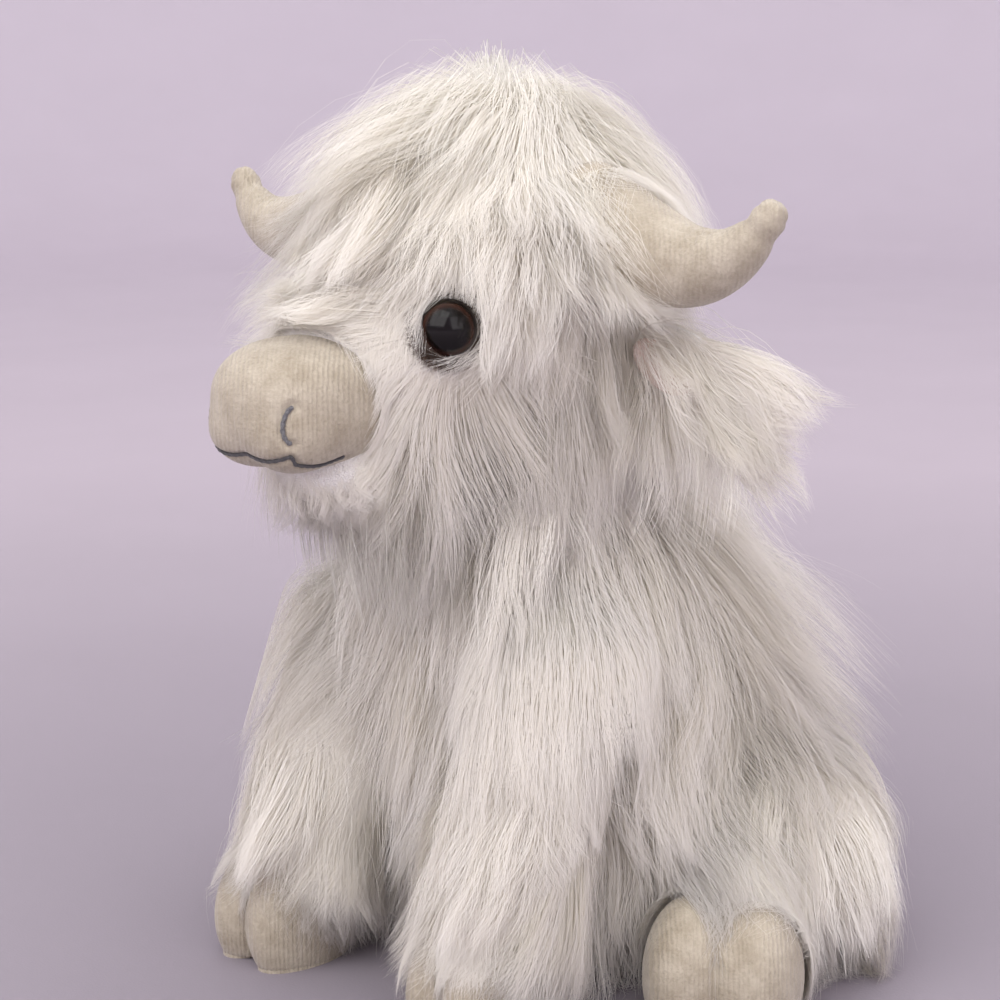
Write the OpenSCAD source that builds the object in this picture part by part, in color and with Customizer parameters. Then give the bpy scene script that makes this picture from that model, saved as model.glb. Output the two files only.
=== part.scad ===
// Seated plush highland cow: long white pile, velour muzzle, horns and hooves.
// It sits on its rump facing -Y, with +Z up and the floor at z = 0.
// The soft bodies are drawn at the mean outer surface of their combed fur.

/* [Torso] */
// Radius of the torso at its widest, over the fur
torso_r = 85; // [82:1:88]
// Distance of the seat's centre behind the origin
seat_y = 48.6; // [46:0.2:51]
// How far the torso leans forward for each millimetre of height
torso_lean = 0.266; // [0.25:0.002:0.28]
// Thickness of the fur fabric with its combed pile
pile = 12; // [9:1:13]
// Radius of the flat panel that the toy sits on
base_r = 62; // [54:1:64]
// Thickness of a plain fabric panel
fabric_t = 1.2; // [1:0.1:1.6]

/* [Head] */
// Height of the centre of the head
head_z = 257; // [255:1:260]
// Distance of the head's centre in front of the origin
head_y = 19; // [17:1:21]
// Width of the head over the fur
head_w = 128; // [124:1:132]
// Depth of the skull over the fur
head_d = 140; // [136:1:144]
// Height of the skull over the fur
head_h = 142; // [138:1:144]
// Height of the point that the head nods about
neck_z = 176; // [174:1:178]
// Radius of the stuffed neck ball
neck_r = 50; // [46:1:52]

/* [Face] */
// Diameter of an eye
eye_d = 19; // [17:0.5:20]
// Diameter of the short-pile patch behind an eye
patch_d = 30; // [27:1:31]
// Width of the muzzle
muzzle_w = 55; // [52:1:58]
// Length of the muzzle, most of it outside the face
muzzle_d = 60; // [56:1:62]
// Height of the muzzle
muzzle_h = 44; // [42:1:46]
// Distance of the muzzle's centre in front of the origin
muzzle_y = 110; // [108:0.5:111]
// Height of the muzzle's centre
muzzle_z = 220; // [218:1:222]
// Thickness of the embroidery thread
thread_d = 1.6; // [1.2:0.1:2]

/* [Horns and ears] */
// Radius of a horn where it leaves the head
horn_base_r = 18; // [16:0.5:18.5]
// Radius of a horn at its blunt tip
horn_tip_r = 4.8; // [4:0.1:6]
// Distance of a horn's tip from the middle of the head
horn_reach = 132; // [128:0.5:135]
// Length of an ear with its fringe
ear_l = 66; // [60:1:68]
// Width of an ear with its fringe
ear_w = 34; // [30:1:36]
// Thickness of an ear
ear_t = 18; // [15:1:20]
// Droop of the ears below level, in degrees
ear_droop = 24; // [20:1:28]

/* [Front legs] */
// Distance of a shoulder from the middle of the body
shoulder_x = 51; // [50:0.5:53]
// Height of the shoulders
shoulder_z = 122; // [120:1:124]
// Radius of the fur sleeve at the shoulder
shoulder_r = 32; // [30:1:33]
// Forward slope of the front legs, in degrees
leg_slope = 20; // [19:0.5:21]
// Width of a front hoof
hoof_w = 45; // [42:1:48]
// Length of a front hoof
hoof_l = 48; // [44:1:52]
// Height of a front hoof
hoof_h = 42; // [39:1:45]

/* [Hind legs] */
// Distance of a hip from the middle of the body
hip_x = 80; // [78:1:82]
// Radius of the thigh over the fur
thigh_r = 42; // [40:1:43]
// Outward turn of the hind legs, in degrees
leg_turn = 21.5; // [20:0.5:24]
// Width of a hind hoof
hind_hoof_w = 56; // [52:1:58]
// Height of a hind hoof
hind_hoof_h = 42; // [39:1:45]

/* [Hidden] */
$fn = 64;

// Gap between bodies that move against each other
move_gap = 0.6;
// Room round a front leg that it sweeps through as it lifts
lift_room = 2.2;
// Gap between pieces that are sewn or packed together
seat_gap = 0.15;
// Fabric left between a leg's bay and the torso's stuffing
bay_wall = 3;
// Size of the blocks that trim other shapes
big = 1000;

fur_colour = [0.93, 0.92, 0.90];
velour_colour = [0.86, 0.82, 0.76];
fibre_colour = [0.97, 0.97, 0.97];

neck = [0, 0, neck_z];
skull_centre = [0, -head_y, head_z];
skull_r = [head_w, head_d, head_h] / 2;
snout_centre = [0, -head_y - 53, head_z - 25];
snout_r = [44, 42, 36];
muzzle_centre = [0, -muzzle_y, muzzle_z];
muzzle_r = [muzzle_w, muzzle_d, muzzle_h] / 2;
muzzle_back_y = -muzzle_y + 18;
chin_centre = [0, -95, 197];
chin_r = [29, 25, 20];
forelock_centre = [0, -31, head_z + 13];
forelock_r = [50, 66, 65];
velour_t = 3;
nostril_at = [19, -muzzle_y - 20, muzzle_z - 3];
nostril_turn = 50;
nostril_r = 5;
mouth_r = 18;
mouth_drop = 16.5;

eye_at = [39.5, -80, 245];
eye_turn = 48;
eye_sink = 7;
patch_t = 1.6;
shank_r = 1.8;
shank_l = 14;
washer_r = 7;

horn_curve = [[61, -23, 276], [84, -27, 267], [114, -31, 257], [horn_reach, -27, 285]];
horn_root_l = 17;
horn_mouth_l = 20;
horn_rings = 12;
horn_sides = 16;
horn_wall = 2.2;

ear_root = [65.5, -14, 238];
shoulder = [shoulder_x, -36, shoulder_z];
sleeve_l = 104;
hip = [hip_x, 50, 50];
hind_cut = 46;
hind_toe_l = 47.5;
hind_hoof_set = 16;
hoof_turn = 10;
splay_in = 6;
pouch_r = [40, 40, 22];
tail_root = [0, 107, 104];
tail_slope = 20;
tail_l = 58;
tail_cord_r = 4;
tuft_r = [11, 6.5, 24];

// Profile of the torso as [radius, height], from the seat to the neck
function torso_profile(inset) = [
    for (p = [[0.74, 0], [0.90, 12], [0.985, 30], [1, 55], [0.965, 85],
              [0.88, 115], [0.78, 140], [0.68, 160], [0.53, 182]])
        [torso_r * p[0] - inset, fabric_t + p[1]]
];

// Point at t along a cubic curve with four control points
function bezier(b, t) =
    pow(1 - t, 3) * b[0] + 3 * t * pow(1 - t, 2) * b[1]
    + 3 * t * t * (1 - t) * b[2] + pow(t, 3) * b[3];

function unit(v) = v / norm(v);

// Centre line of a horn: a straight root in the head, then the curve
horn_dir = unit(horn_curve[1] - horn_curve[0]);
horn_root = horn_curve[0] - horn_root_l * horn_dir;
horn_path = concat(
    [horn_root, horn_curve[0] - horn_root_l / 2 * horn_dir],
    [for (i = [0 : horn_rings]) bezier(horn_curve, i / horn_rings)]
);
function horn_radius(i) =
    i < 3 ? horn_base_r
    : horn_base_r + (horn_tip_r - horn_base_r) * pow((i - 2) / horn_rings, 1.8);

// Ring of points about the path at index i, with its radius less inset
function ring(path, i, r) =
    let (
        n = len(path) - 1,
        d = unit(path[min(i + 1, n)] - path[max(i - 1, 0)]),
        u = unit(cross([0, 1, 0], d)),
        v = cross(d, u)
    )
    [for (k = [0 : horn_sides - 1])
        let (a = 360 * k / horn_sides) path[i] + r * (cos(a) * u + sin(a) * v)];

// Closed skin over a stack of rings, first ring to last, with flat ends
module skin(rings) {
    n = len(rings[0]);
    m = len(rings);
    points = [for (r = rings) for (p = r) p];
    sides = [
        for (j = [0 : m - 2]) for (k = [0 : n - 1])
            let (a = j * n + k, b = j * n + (k + 1) % n)
            each [[a, a + n, b + n], [a, b + n, b]]
    ];
    ends = [[for (k = [0 : n - 1]) k], [for (k = [n - 1 : -1 : 0]) (m - 1) * n + k]];
    polyhedron(concat(points), concat(sides, ends));
}

module ellipsoid(centre, r) {
    translate(centre) scale(r) sphere(1);
}

// Ellipsoid with its poles on the Y axis, for shapes that are cut across Y
module y_ellipsoid(centre, r) {
    translate(centre) scale(r) rotate([90, 0, 0]) sphere(1);
}

// Mirrors its children for the right-hand side
module on_side(side) {
    if (side > 0) children();
    else mirror([1, 0, 0]) children();
}

// Half space on the left of the middle plane
module left_half() {
    translate([0, -big / 2, -big / 2]) cube(big);
}

// ---- torso ----

module torso_solid(inset) {
    rows = torso_profile(inset);
    multmatrix([[1, 0, 0, 0], [0, 1, -torso_lean, seat_y], [0, 0, 1, 0]])
        rotate_extrude()
            polygon(concat([[0, rows[0][1]]], rows, [[0, rows[len(rows) - 1][1]]]));
    translate(neck) sphere(neck_r - inset);
}

// Space that the legs of one side need in the torso
module leg_bays(grow) {
    translate(shoulder) rotate([-leg_slope + 3, 0, 0])
        front_column(shoulder_r + lift_room + grow, grow);
    ellipsoid(hip, [thigh_r + grow, thigh_r + grow, thigh_r + 2 + grow]);
    hind_shin(grow + 5, leg_turn - splay_in / 2);
}

module both_bays(grow) {
    leg_bays(grow);
    mirror([1, 0, 0]) leg_bays(grow);
}

module torso_fill(extra) {
    difference() {
        torso_solid(pile - extra);
        both_bays(bay_wall - extra);
    }
}

module torso_panel(side) {
    color(fur_colour) on_side(side) difference() {
        torso_solid(0);
        leg_bays(move_gap);
        torso_fill(seat_gap);
        mirror([1, 0, 0]) left_half();
    }
}

module base_panel() {
    color(fur_colour) translate([0, seat_y, 0]) cylinder(r = base_r, h = fabric_t);
}

module pouch_dome(grow) {
    intersection() {
        ellipsoid([0, seat_y - 4, fabric_t], pouch_r + [grow, grow, grow]);
        translate([-big / 2, -big / 2, fabric_t]) cube(big);
    }
}

module torso_stuffing() {
    color(fibre_colour) difference() {
        torso_fill(0);
        pouch_dome(seat_gap);
    }
}

module bean_pouch() {
    color([0.75, 0.73, 0.68]) pouch_dome(0);
}

// ---- head ----

module head_solid(grow) {
    ellipsoid(skull_centre, skull_r + [grow, grow, grow]);
    ellipsoid(snout_centre, snout_r + [grow, grow, grow]);
}

module muzzle_solid(grow) {
    intersection() {
        y_ellipsoid(muzzle_centre, muzzle_r + [grow, grow, grow]);
        translate([-big / 2, muzzle_back_y + grow - big, 0]) cube(big);
    }
}

// Places its children on the left eye, with +Z out of the face
module at_eye() {
    translate(eye_at) rotate([0, 0, -90 + eye_turn]) rotate([0, 90, 0]) children();
}

// Recess, shank hole and washer pocket of one eye
module eye_cut() {
    at_eye() {
        translate([0, 0, -eye_sink]) cylinder(d = patch_d + 2 * seat_gap, h = 30);
        translate([0, 0, -eye_sink - shank_l]) cylinder(r = shank_r + seat_gap, h = shank_l + 1);
    }
}

module washer_pocket(grow) {
    at_eye() translate([0, 0, -eye_sink - shank_l - grow])
        cylinder(r = washer_r + grow, h = 4 + 2 * grow);
}

module horn_bore(grow) {
    translate(horn_root - (seat_gap + grow) * horn_dir)
        rotate([0, acos(horn_dir[2]), atan2(horn_dir[1], horn_dir[0])])
            cylinder(r = horn_base_r + 0.3 + grow, h = horn_root_l + horn_mouth_l);
}

module head_fill(extra) {
    difference() {
        union() {
            ellipsoid(skull_centre, skull_r - (pile - extra) * [1, 1, 1]);
            ellipsoid(snout_centre, snout_r - (pile - extra) * [1, 1, 1]);
        }
        translate(neck) sphere(neck_r + bay_wall - extra);
        horn_bore(bay_wall - extra);
        mirror([1, 0, 0]) horn_bore(bay_wall - extra);
        muzzle_solid(bay_wall - extra);
    }
}

module head_panel(side) {
    color(fur_colour) difference() {
        head_solid(0);
        translate(neck) sphere(neck_r + move_gap);
        head_fill(seat_gap);
        muzzle_solid(seat_gap);
        on_side(side) {
            horn_bore(0);
            eye_cut();
            washer_pocket(seat_gap);
        }
        on_side(-side) left_half();
    }
}

module head_stuffing() {
    color(fibre_colour) difference() {
        head_fill(0);
        for (m = [0, 1]) mirror([m, 0, 0]) {
            eye_cut();
            washer_pocket(seat_gap);
        }
    }
}

module forelock() {
    color(fur_colour) difference() {
        ellipsoid(forelock_centre, forelock_r);
        head_solid(seat_gap);
        translate([-big / 2, -big / 2, head_z + 8 - big]) cube(big);
    }
}

module chin_fur() {
    color(fur_colour) difference() {
        ellipsoid(chin_centre, chin_r);
        head_solid(seat_gap);
        muzzle_solid(seat_gap);
    }
}

// ---- muzzle ----

module muzzle_core(extra) {
    intersection() {
        y_ellipsoid(muzzle_centre, muzzle_r - (velour_t - extra) * [1, 1, 1]);
        translate([-big / 2, muzzle_back_y - big, 0]) cube(big);
    }
}

// Thread of one nostril: an arc in the muzzle's front surface
module nostril_thread(grow) {
    translate(nostril_at) rotate([0, 0, nostril_turn]) rotate([90, 0, 0]) rotate([0, 0, 110])
        rotate_extrude(angle = 170) translate([nostril_r, 0]) circle(d = thread_d + grow);
}

// Thread of the mouth: an arc round the lower front of the muzzle
module mouth_thread(grow) {
    translate([0, -muzzle_y, muzzle_z - mouth_drop]) scale([1, 1.12, 1]) rotate([0, 0, 207])
        rotate_extrude(angle = 126) translate([mouth_r, 0]) circle(d = thread_d + grow);
}

module muzzle_cover() {
    color(velour_colour) difference() {
        muzzle_solid(0);
        muzzle_core(seat_gap);
        for (m = [0, 1]) mirror([m, 0, 0]) nostril_thread(0.1);
        mouth_thread(0.1);
    }
}

module muzzle_stuffing() {
    color(fibre_colour) muzzle_core(0);
}

module mouth_stitches() {
    color([0.20, 0.19, 0.20]) mouth_thread(0);
}

module nostril(side) {
    color([0.45, 0.44, 0.45]) on_side(side) nostril_thread(0);
}

// ---- eyes ----

module eye(side) {
    color([0.12, 0.07, 0.05]) on_side(side) at_eye() {
        intersection() {
            translate([0, 0, -eye_sink + patch_t + 1]) scale([1, 1, 0.86]) sphere(d = eye_d);
            translate([-big / 2, -big / 2, -eye_sink + patch_t]) cube(big);
        }
        translate([0, 0, -eye_sink - shank_l + 0.5]) cylinder(r = shank_r, h = shank_l + patch_t);
    }
}

module eye_patch(side) {
    color([0.30, 0.22, 0.18]) on_side(side) at_eye() translate([0, 0, -eye_sink])
        difference() {
            cylinder(d = patch_d, h = patch_t);
            translate([0, 0, -1]) cylinder(r = shank_r + seat_gap, h = patch_t + 2);
        }
}

module eye_washer(side) {
    color([0.85, 0.85, 0.83]) on_side(side) at_eye()
        translate([0, 0, -eye_sink - shank_l + 1]) difference() {
            cylinder(r = washer_r, h = 2.4);
            translate([0, 0, -1]) cylinder(r = shank_r + 0.05, h = 5);
        }
}

// ---- horns ----

module horn_cover(side) {
    n = len(horn_path) - 1;
    bore = concat([horn_root - horn_dir], [for (i = [1 : n - 1]) horn_path[i]]);
    color(velour_colour) on_side(side) difference() {
        skin([for (i = [0 : n]) ring(horn_path, i, horn_radius(i))]);
        skin([for (i = [0 : n - 1])
            ring(bore, i, horn_radius(i) - horn_wall + seat_gap)]);
    }
}

module horn_stuffing(side) {
    n = len(horn_path) - 2;
    color(fibre_colour) on_side(side)
        skin([for (i = [0 : n]) ring(horn_path, i, horn_radius(i) - horn_wall - seat_gap)]);
}

// ---- ears ----

// Places its children at the left ear's root, with +X along the ear
module at_ear() {
    translate(ear_root) rotate([0, ear_droop, 0]) children();
}

module ear_fur(side) {
    color(fur_colour) on_side(side) at_ear() intersection() {
        y_ellipsoid([ear_l / 2, 0, 0], [ear_l, ear_t, ear_w] / 2);
        translate([-big / 2, -ear_t * 0.12, -big / 2]) cube(big);
    }
}

module ear_lining(side) {
    color([0.90, 0.80, 0.76]) on_side(side) at_ear() intersection() {
        y_ellipsoid([ear_l * 0.47, 0, 0], [ear_l * 0.36, ear_t * 0.36, ear_w * 0.32]);
        translate([-big / 2, -ear_t * 0.12 - seat_gap - big, -big / 2]) cube(big);
    }
}

// ---- legs ----

// Fur column of a front leg along -Z, with a dome of radius r about the shoulder
module front_column(r, grow) {
    dome = [for (a = [90 : -15 : 0]) [r * cos(a), r * sin(a)]];
    rotate_extrude()
        polygon(concat(dome, [[r - 2, -30], [r - 2, -60], [r, -85],
                              [r + 2, -sleeve_l - grow], [0, -sleeve_l - grow]]));
}

module at_shoulder() {
    translate(shoulder) rotate([-leg_slope, 0, 0]) children();
}

// Stuffing of a front leg, with its lower end at sleeve_l plus reach
module front_core(extra, reach) {
    front_column(shoulder_r - pile + extra, reach);
}

module front_leg_sleeve(side) {
    color(fur_colour) on_side(side) at_shoulder() difference() {
        front_column(shoulder_r, 0);
        front_core(seat_gap, 1);
    }
}

module front_leg_stuffing(side) {
    color(fibre_colour) on_side(side) at_shoulder() front_core(0, 0);
}

// Two rounded toes of width w, length l and height h over a flat sole, toes to -Y
module toes(w, l, h) {
    intersection() {
        union() {
            for (s = [-1, 1])
                ellipsoid([s * w * 0.23, 0, h * 0.34], [w * 0.27, l / 2, h * 0.66]);
            ellipsoid([0, l * 0.12, h * 0.40], [w * 0.36, l * 0.38, h * 0.60]);
        }
        translate([-big / 2, -big / 2, fabric_t]) cube(big);
    }
}

// Flat sole under the toes
module sole_plate(w, l) {
    for (s = [-1, 1]) translate([s * w * 0.23, 0, 0]) scale([w * 0.235, l * 0.43, 1])
        cylinder(r = 1, h = fabric_t);
    translate([0, l * 0.12, 0]) scale([w * 0.26, l * 0.28, 1]) cylinder(r = 1, h = fabric_t);
}

module at_front_hoof() {
    translate([shoulder_x + 2, -78, 0]) children();
}

module front_hoof(side) {
    color(velour_colour) on_side(side) difference() {
        at_front_hoof() toes(hoof_w, hoof_l, hoof_h);
        at_shoulder() translate([-big / 2, -big / 2, -sleeve_l - seat_gap]) cube(big);
    }
}

module front_sole(side) {
    color(velour_colour) on_side(side) at_front_hoof() sole_plate(hoof_w, hoof_l);
}

// Lower part of a hind leg, turned outward by the given angle about the hip
module hind_shin(grow, turn) {
    translate([hip[0], hip[1], 0]) rotate([0, 0, turn])
        y_ellipsoid([0, -32, 34], [31 + grow, 48 + grow, 31 + grow]);
}

module at_hip() {
    translate([hip[0], hip[1], 0]) rotate([0, 0, leg_turn]) children();
}

module hind_solid(inset) {
    difference() {
        union() {
            ellipsoid(hip, [thigh_r - inset, thigh_r - inset, thigh_r + 2 - inset]);
            hind_shin(-inset, leg_turn);
        }
        at_hip() translate([-big / 2, -hind_cut - big, -big / 2]) cube(big);
    }
}

module hind_leg_sleeve(side) {
    color(fur_colour) on_side(side) difference() {
        hind_solid(0);
        hind_solid(pile - seat_gap);
        at_hip() translate([0, -hind_cut + 1, 34]) rotate([90, 0, 0]) cylinder(r = 14, h = 4);
    }
}

module hind_leg_stuffing(side) {
    color(fibre_colour) on_side(side) hind_solid(pile);
}

module at_hind_hoof() {
    at_hip() translate([0, -hind_cut - hind_hoof_set, 0])
        rotate([0, 0, hoof_turn]) children();
}

module hind_hoof(side) {
    color(velour_colour) on_side(side) difference() {
        at_hind_hoof() toes(hind_hoof_w, hind_toe_l, hind_hoof_h);
        at_hip() translate([-big / 2, -hind_cut - seat_gap, -1]) cube(big);
    }
}

module hind_sole(side) {
    color(velour_colour) on_side(side) difference() {
        at_hind_hoof() sole_plate(hind_hoof_w, hind_toe_l);
        at_hip() translate([-big / 2, -hind_cut - seat_gap, -1]) cube(big);
    }
}

// ---- tail ----

module at_tail() {
    translate(tail_root) rotate([tail_slope, 0, 0]) children();
}

module tail_tuft_solid() {
    ellipsoid([0, 0, -tail_l - 8], tuft_r);
}

module tail_cord() {
    color(fur_colour) at_tail() translate([0, 0, -tail_l]) cylinder(r = tail_cord_r, h = tail_l);
}

module tail_tuft() {
    color(fur_colour) at_tail() difference() {
        tail_tuft_solid();
        translate([0, 0, -tail_l - seat_gap]) cylinder(r = tail_cord_r + seat_gap, h = tail_l);
        translate([-big / 2, -big / 2, -tail_l + 8]) cube(big);
    }
}

torso_panel(1);  // torso_left_panel
torso_panel(-1);  // torso_right_panel
base_panel();
torso_stuffing();
bean_pouch();
head_panel(1);  // head_left_panel
head_panel(-1);  // head_right_panel
head_stuffing();
forelock();
chin_fur();
muzzle_cover();
muzzle_stuffing();
mouth_stitches();
nostril(1);  // nostril_left
nostril(-1);  // nostril_right
horn_cover(1);  // horn_left_cover
horn_cover(-1);  // horn_right_cover
horn_stuffing(1);  // horn_left_stuffing
horn_stuffing(-1);  // horn_right_stuffing
eye(1);  // eye_left
eye(-1);  // eye_right
eye_washer(1);  // eye_left_washer
eye_washer(-1);  // eye_right_washer
eye_patch(1);  // eye_left_patch
eye_patch(-1);  // eye_right_patch
ear_fur(1);  // ear_left_fur
ear_fur(-1);  // ear_right_fur
ear_lining(1);  // ear_left_lining
ear_lining(-1);  // ear_right_lining
front_leg_sleeve(1);  // front_leg_left_sleeve
front_leg_sleeve(-1);  // front_leg_right_sleeve
front_leg_stuffing(1);  // front_leg_left_stuffing
front_leg_stuffing(-1);  // front_leg_right_stuffing
front_hoof(1);  // front_hoof_left
front_hoof(-1);  // front_hoof_right
front_sole(1);  // front_sole_left
front_sole(-1);  // front_sole_right
hind_leg_sleeve(1);  // hind_leg_left_sleeve
hind_leg_sleeve(-1);  // hind_leg_right_sleeve
hind_leg_stuffing(1);  // hind_leg_left_stuffing
hind_leg_stuffing(-1);  // hind_leg_right_stuffing
hind_hoof(1);  // hind_hoof_left
hind_hoof(-1);  // hind_hoof_right
hind_sole(1);  // hind_sole_left
hind_sole(-1);  // hind_sole_right
tail_cord();
tail_tuft();
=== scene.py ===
"""Seated plush highland cow: long white pile, velour muzzle, horns and hooves.

Shapes are worked out in millimetres in the frame's axes (+Z up, the toy faces -Y)
and become metres when a mesh is made.
"""

import math

import bmesh
import bpy
import numpy as np
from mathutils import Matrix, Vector
from mathutils.kdtree import KDTree


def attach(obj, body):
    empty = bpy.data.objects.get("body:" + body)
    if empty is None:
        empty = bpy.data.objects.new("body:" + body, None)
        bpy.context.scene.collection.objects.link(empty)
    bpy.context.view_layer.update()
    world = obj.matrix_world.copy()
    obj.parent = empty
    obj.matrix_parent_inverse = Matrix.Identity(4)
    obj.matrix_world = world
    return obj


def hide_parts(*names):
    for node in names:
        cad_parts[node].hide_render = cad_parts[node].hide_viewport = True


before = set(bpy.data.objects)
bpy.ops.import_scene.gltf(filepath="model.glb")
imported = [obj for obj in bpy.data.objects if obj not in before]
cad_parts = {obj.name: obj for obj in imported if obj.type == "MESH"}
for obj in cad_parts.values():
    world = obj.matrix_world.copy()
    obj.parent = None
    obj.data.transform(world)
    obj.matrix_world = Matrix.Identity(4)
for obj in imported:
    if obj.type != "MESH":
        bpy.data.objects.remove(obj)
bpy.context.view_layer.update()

MM = 0.001
SIDES = {"left": 1.0, "right": -1.0}

# ---------------------------------------------------------------- dimensions

TORSO_R = 85.0
SEAT_Y = 48.6
TORSO_LEAN = 0.266
TORSO_PROFILE = [(0.70, 0), (0.90, 12), (0.985, 30), (1.0, 55), (0.965, 85),
                 (0.88, 115), (0.78, 140), (0.68, 160), (0.53, 182)]
NECK = np.array([0.0, 0.0, 176.0])
NECK_R = 50.0
SKULL = np.array([0.0, -19.0, 257.0])
SKULL_R = np.array([64.0, 70.0, 71.0])
SNOUT = np.array([0.0, -72.0, 232.0])
SNOUT_R = np.array([44.0, 42.0, 36.0])
CROWN = np.array([0.0, -8.0, 322.0])
MUZZLE = np.array([0.0, -110.0, 220.0])
MUZZLE_R = np.array([27.5, 30.0, 22.0])
EYE = np.array([39.5, -80.0, 245.0])
EYE_TURN = math.radians(48)
EYE_D = 19.0
PATCH_D = 30.0
HORN_CURVE = np.array([[61, -23, 276], [84, -27, 267], [114, -31, 257], [132, -27, 285]], float)
HORN_BASE_R = 18.0
HORN_TIP_R = 4.8
EAR_ROOT = np.array([65.5, -14.0, 238.0])
EAR_DROOP = math.radians(24)
EAR_W = 34.0
CHIN = np.array([0.0, -95.0, 197.0])
CHIN_R = np.array([29.0, 25.0, 20.0])
SHOULDER = np.array([51.0, -36.0, 122.0])
LEG_DOWN = np.array([0.0, -math.sin(math.radians(20)), -math.cos(math.radians(20))])
SLEEVE_L = 104.0
FRONT_HOOF = np.array([53.0, -78.0, 0.0])
FRONT_HOOF_SIZE = (45.0, 48.0, 42.0)
HIP = np.array([80.0, 50.0, 50.0])
LEG_TURN = math.radians(21.5)
HIND_HOOF_SIZE = (56.0, 47.5, 42.0)
HIND_HOOF_TURN = LEG_TURN + math.radians(10)
HIND_HOOF = HIP * [1, 1, 0] + 62.0 * np.array([math.sin(LEG_TURN), -math.cos(LEG_TURN), 0.0])
SEAM_ANGLE = math.radians(205)
TAIL_ROOT = np.array([0.0, 107.0, 104.0])
TAIL_DOWN = np.array([0.0, math.sin(math.radians(20)), -math.cos(math.radians(20))])
TAIL_L = 58.0

# Depth of the backing fabric under the mean surface of the combed pile
INSET = 10.0
# Longer than any distance from a part's middle to its skin
RAY_REACH = 200.0


# ---------------------------------------------------------------- distances

def unit(v):
    return v / np.maximum(np.linalg.norm(v, axis=-1, keepdims=True), 1e-9)


def turned(p, angle):
    """Points turned about Z by the angle."""
    c, s = math.cos(angle), math.sin(angle)
    return np.stack([c * p[..., 0] - s * p[..., 1], s * p[..., 0] + c * p[..., 1], p[..., 2]], -1)


def mirrored(p, side):
    return p * np.array([side, 1.0, 1.0])


def at_side(distance, side):
    """A left part's distance, for the part of either side."""
    return lambda p: distance(mirrored(p, side))


def step(x, a, b):
    """Smooth rise from 0 at a to 1 at b."""
    t = np.clip((x - a) / (b - a), 0.0, 1.0)
    return t * t * (3 - 2 * t)


def ellipsoid(p, centre, radii):
    q = (p - centre) / radii
    k0 = np.linalg.norm(q, axis=-1)
    k1 = np.linalg.norm(q / radii, axis=-1)
    return k0 * (k0 - 1.0) / np.maximum(k1, 1e-9)


def capsule(p, a, b, ra, rb):
    """Distance to a round bar from a to b whose radius runs from ra to rb."""
    ab = b - a
    h = np.clip(((p - a) @ ab) / (ab @ ab), 0.0, 1.0)
    return np.linalg.norm(p - a - h[..., None] * ab, axis=-1) - (ra + h * (rb - ra))


def blend_min(a, b, k):
    """Union of two distances, rounded over k where they meet."""
    h = np.clip(0.5 + 0.5 * (b - a) / k, 0.0, 1.0)
    return b * (1 - h) + a * h - k * h * (1 - h)


def torso_d(p, inset=INSET):
    z = np.array([row[1] for row in TORSO_PROFILE]) + 1.2
    r = np.array([row[0] for row in TORSO_PROFILE]) * TORSO_R - inset
    y = p[..., 1] - SEAT_Y + TORSO_LEAN * p[..., 2]
    side = (np.hypot(p[..., 0], y) - np.interp(p[..., 2], z, r)) * 0.93
    flat = np.maximum(1.2 - p[..., 2], p[..., 2] - 182.0)
    body = np.maximum(side, flat)
    ball = np.linalg.norm(p - NECK, axis=-1) - (NECK_R - inset)
    return blend_min(body, ball, 12.0)


def skull_d(p, inset=INSET):
    skull = ellipsoid(p, SKULL, SKULL_R - inset)
    snout = ellipsoid(p, SNOUT, SNOUT_R - inset * 0.55)
    return blend_min(skull, snout, 14.0)


def head_d(p, inset=INSET):
    hollow = np.linalg.norm(p - NECK, axis=-1) - (NECK_R - inset + 2.5)
    return np.maximum(skull_d(p, inset), -hollow)


def front_leg_d(p, inset=INSET - 1):
    end = SHOULDER + LEG_DOWN * (SLEEVE_L - 24)
    return capsule(p, SHOULDER, end, 32 - inset, 34 - inset)


def thigh_d(p, inset=INSET - 1):
    q = turned(p - np.array([HIP[0], HIP[1], 0.0]), -LEG_TURN)
    thigh = ellipsoid(p, HIP, np.array([42.0, 42.0, 44.0]) - inset)
    shin = ellipsoid(q, np.array([0.0, -30.0, 33.0]), np.array([31.0, 44.0, 31.0]) - inset)
    return blend_min(thigh, shin, 10.0)


def horn_path(n):
    """Centre line and radius of the left horn, from the head to the tip."""
    t = np.linspace(0, 1, n)[:, None]
    b = HORN_CURVE
    line = ((1 - t) ** 3 * b[0] + 3 * t * (1 - t) ** 2 * b[1]
            + 3 * t * t * (1 - t) * b[2] + t ** 3 * b[3])
    radius = HORN_BASE_R + (HORN_TIP_R - HORN_BASE_R) * t[:, 0] ** 1.8
    return line, radius


def horn_d(p):
    line, radius = horn_path(7)
    d = capsule(p, line[0], line[1], radius[0], radius[1])
    for i in range(1, 6):
        d = np.minimum(d, capsule(p, line[i], line[i + 1], radius[i], radius[i + 1]))
    return d


def muzzle_d(p):
    """A rounded box with two fuller lobes over the mouth."""
    q = np.abs((p - MUZZLE) / MUZZLE_R)
    box = ((q ** 2.4).sum(-1) ** (1 / 2.4) - 1.0) * MUZZLE_R[2]
    fold = np.stack([np.abs(p[..., 0]), p[..., 1], p[..., 2]], -1)
    lobe = ellipsoid(fold, MUZZLE + np.array([10.5, -13.0, -8.5]), np.array([13.0, 14.0, 12.0]))
    return blend_min(box, lobe, 5.0)


def groove(p, lines, width, depth):
    """Depth of a press along open lines of points."""
    near = np.full(p.shape[:-1], 1e9)
    for line in lines:
        for a, b in zip(line[:-1], line[1:]):
            near = np.minimum(near, capsule(p, a, b, 0.0, 0.0))
    return depth * np.exp(-(near / width) ** 2)


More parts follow.
